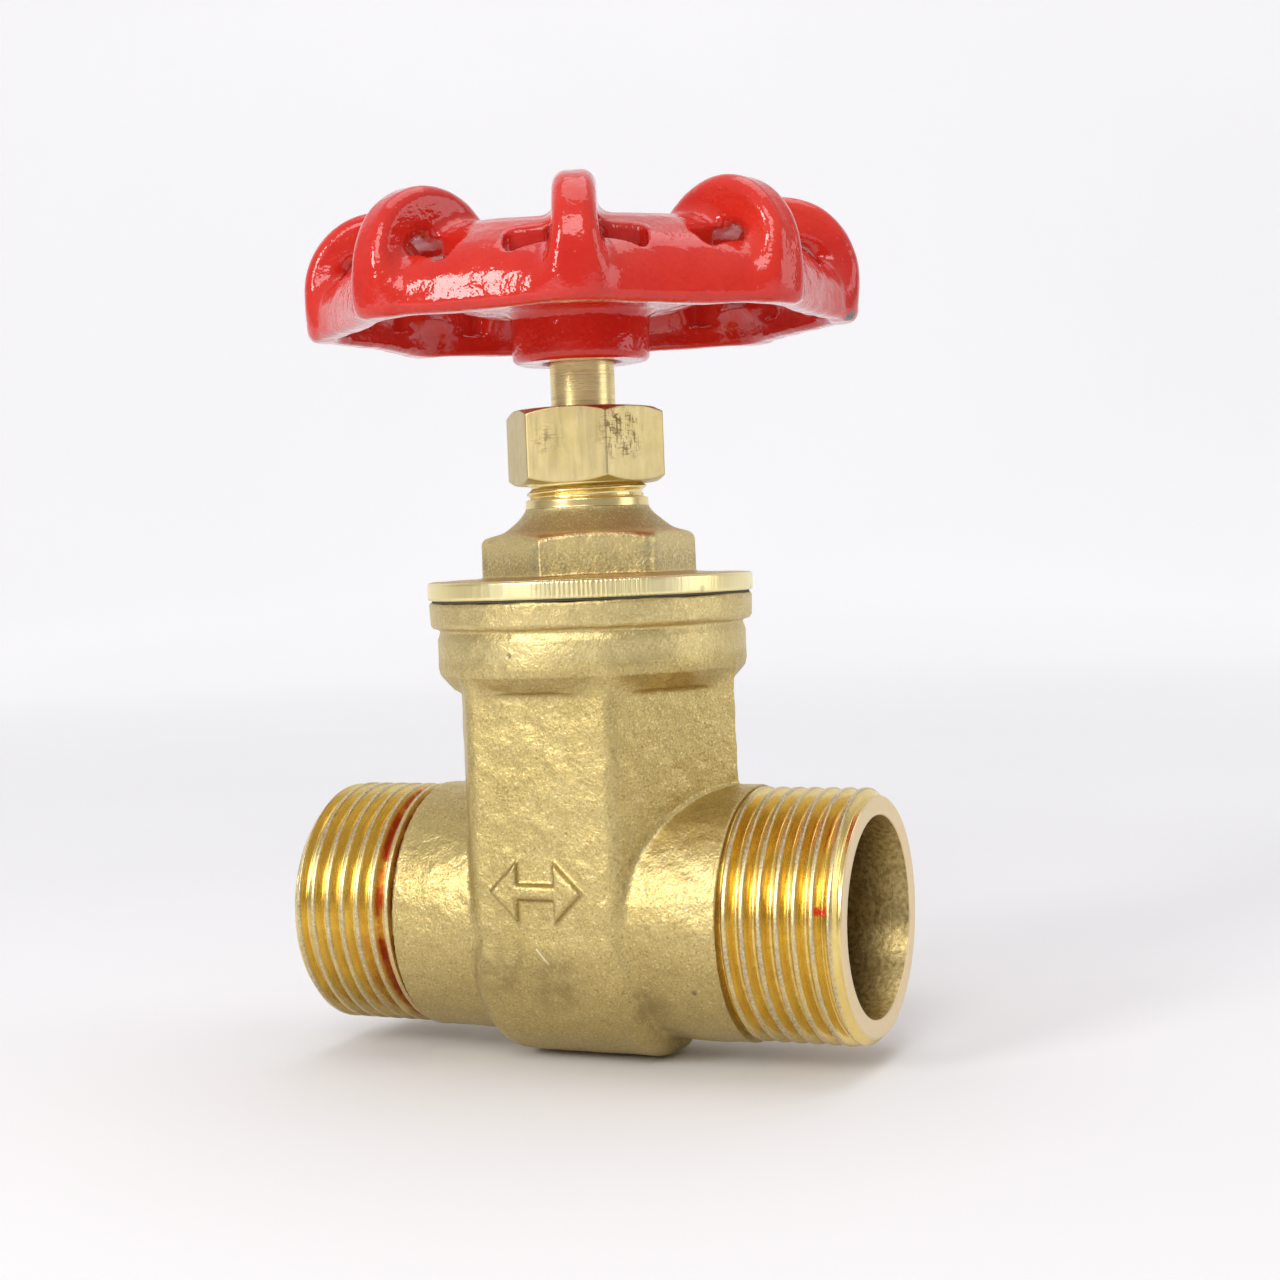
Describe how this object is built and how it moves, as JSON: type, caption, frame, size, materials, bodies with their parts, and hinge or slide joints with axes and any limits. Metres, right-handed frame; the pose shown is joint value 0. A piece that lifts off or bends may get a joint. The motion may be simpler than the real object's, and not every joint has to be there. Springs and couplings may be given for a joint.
{
  "type": "gate valve",
  "caption": "Brass gate valve with male-threaded pipe ends, a hexagonal neck, a screwed bonnet, a gland nut and a red lobed handwheel that raises an inner wedge.",
  "frame": {"origin": "where the flow axis crosses the stem axis, in the middle of the valve", "axes": "+X along the flow axis, +Z along the stem towards the handwheel"},
  "size_m": [0.079, 0.0722, 0.1147],
  "materials": {
    "cast_brass": "shot-blasted casting, machined threads and faces",
    "machined_brass": "machined",
    "stem_brass": "turned, fine lathe marks",
    "nut_brass": "drawn hexagon bar, slightly stained",
    "fibre_gasket": "dark fibre",
    "ptfe": "smooth white",
    "packing": "braided, graphited",
    "red_enamel": "thick glossy enamel on cast iron",
    "disc_aluminium": "plain pressed disc",
    "zinc_steel": "bright zinc plate"
  },
  "bodies": {
    "valve_body": {"body": "cast_brass", "bonnet": "cast_brass", "bonnet_gasket": "fibre_gasket", "stem_retaining_ring": "machined_brass", "packing_washer": "machined_brass", "packing_ring_lower": "packing", "packing_ring_middle": "packing", "packing_ring_upper": "packing", "thrust_washer_lower": "ptfe", "thrust_washer_upper": "ptfe"},
    "spindle": {"stem": "stem_brass", "handwheel": "red_enamel", "identity_disc": "disc_aluminium", "handwheel_washer": "zinc_steel", "handwheel_lock_washer": "zinc_steel", "handwheel_nut": "zinc_steel"},
    "wedge": {"gate_wedge": "machined_brass"},
    "follower": {"gland_follower": "machined_brass"},
    "packing_nut": {"gland_nut": "nut_brass"}
  },
  "joints": [
    {"name": "stem_spin", "type": "hinge", "parent": "valve_body", "child": "spindle", "pos_m": [0, 0, 0.06], "axis": [0, 0, 1], "range_deg": [0, 3240]},
    {"name": "gate_lift", "type": "slide", "parent": "valve_body", "child": "wedge", "axis": [0, 0, 1], "range_m": [0, 0.0271]},
    {"name": "gland_travel", "type": "slide", "parent": "valve_body", "child": "follower", "axis": [0, 0, 1], "range_m": [-0.001, 0], "deforming": ["packing_ring_lower", "packing_ring_middle", "packing_ring_upper"]},
    {"name": "gland_nut_turn", "type": "hinge", "parent": "follower", "child": "packing_nut", "pos_m": [0, 0, 0.0626], "axis": [0, 0, 1], "range_deg": [-241, 0]}
  ],
  "couplings": [
    {"joint": "gate_lift", "follows": "stem_spin", "m_per_rad": 0.00047746},
    {"joint": "gland_nut_turn", "follows": "gland_travel", "rad_per_m": 4188.8}
  ]
}
